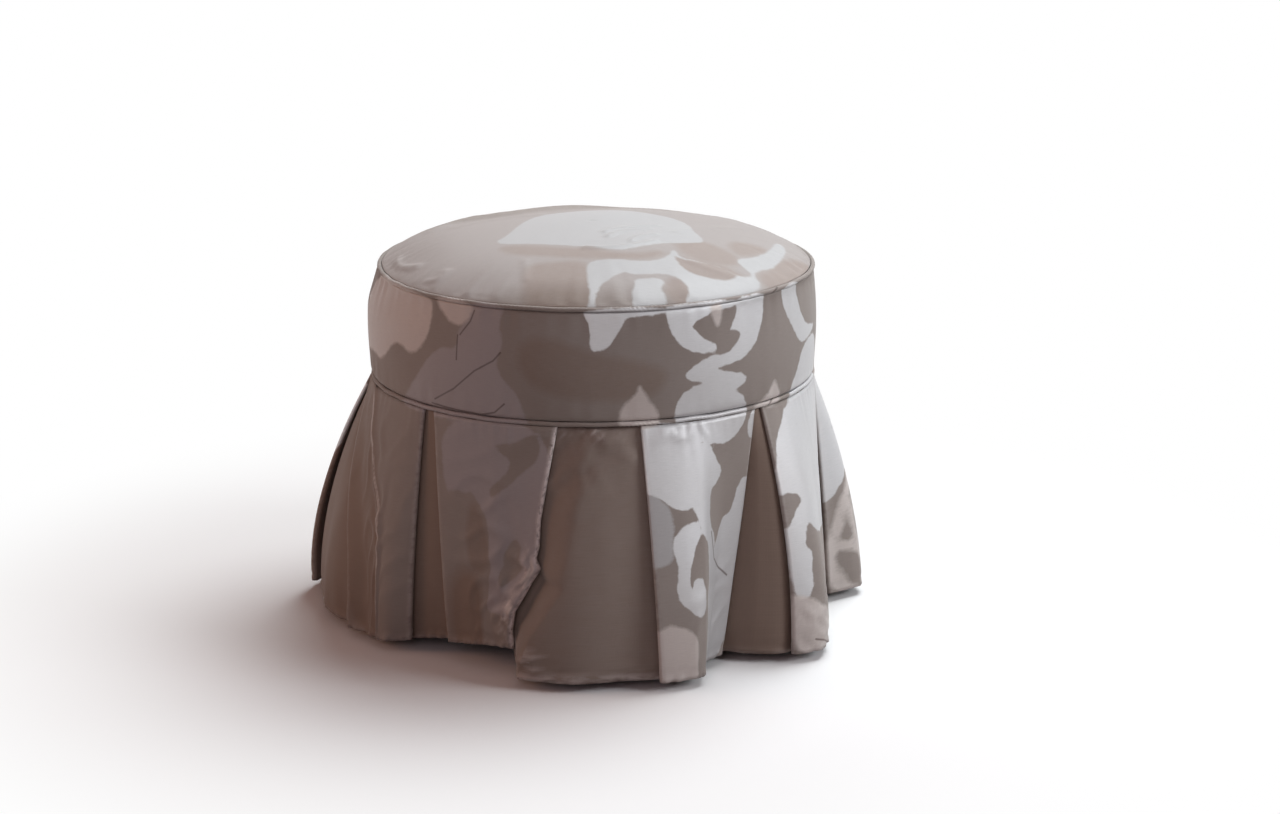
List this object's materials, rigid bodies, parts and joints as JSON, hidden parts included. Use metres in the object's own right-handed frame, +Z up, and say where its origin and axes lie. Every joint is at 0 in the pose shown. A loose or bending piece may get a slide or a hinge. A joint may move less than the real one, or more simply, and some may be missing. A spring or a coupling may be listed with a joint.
{
  "type": "round skirted footstool",
  "caption": "Round upholstered footstool with a crowned seat, piped side band and a floor-length skirt in inverted box pleats over hidden turned legs.",
  "frame": {"origin": "on the floor under the middle of the stool", "axes": "+Z up, the front (the wide open pleat) towards -Y, +X to the right seen from the front"},
  "size_m": [0.6092, 0.5677, 0.4295],
  "materials": {
    "damask": "tone-on-tone damask, silky motif on a matte taupe ground",
    "lining_cloth": "plain cotton lining",
    "wadding": "polyester wadding",
    "foam": "open-cell foam",
    "hessian": "coarse plain weave",
    "jute_webbing": "woven jute webbing",
    "piping_cord": "soft cotton cord",
    "black_cambric": "thin spunbonded cloth",
    "card": "pressed card",
    "plywood": "birch plywood, sanded",
    "softwood": "planed pine",
    "hardboard": "smooth hardboard",
    "beech": "stained beech, satin",
    "nylon": "dark nylon",
    "plated_steel": "zinc plated"
  },
  "bodies": {
    "root": {"leg_1": "beech", "leg_2": "beech", "leg_3": "beech", "leg_4": "beech", "glide_1": "nylon", "glide_2": "nylon", "glide_3": "nylon", "glide_4": "nylon", "glide_nails": "plated_steel", "hanger_bolts": "plated_steel", "tee_nuts": "plated_steel", "bottom_ring": "plywood", "top_ring": "plywood", "post_1": "softwood", "post_2": "softwood", "post_3": "softwood", "post_4": "softwood", "post_5": "softwood", "post_6": "softwood", "post_7": "softwood", "post_8": "softwood", "frame_screws": "plated_steel", "drum_wall": "hardboard", "dust_cover": "black_cambric", "webbing_1": "jute_webbing", "webbing_2": "jute_webbing", "webbing_3": "jute_webbing", "webbing_4": "jute_webbing", "webbing_5": "jute_webbing", "webbing_6": "jute_webbing", "hessian_deck": "hessian", "seat_foam": "foam", "seat_wadding": "wadding", "side_padding": "wadding", "side_cover": "damask", "top_cover": "damask", "top_welt": "damask", "top_welt_cord": "piping_cord", "skirt_welt": "damask", "skirt_welt_cord": "piping_cord", "tack_strip": "card", "skirt": "damask", "skirt_lining": "lining_cloth"}
  },
  "joints": []
}
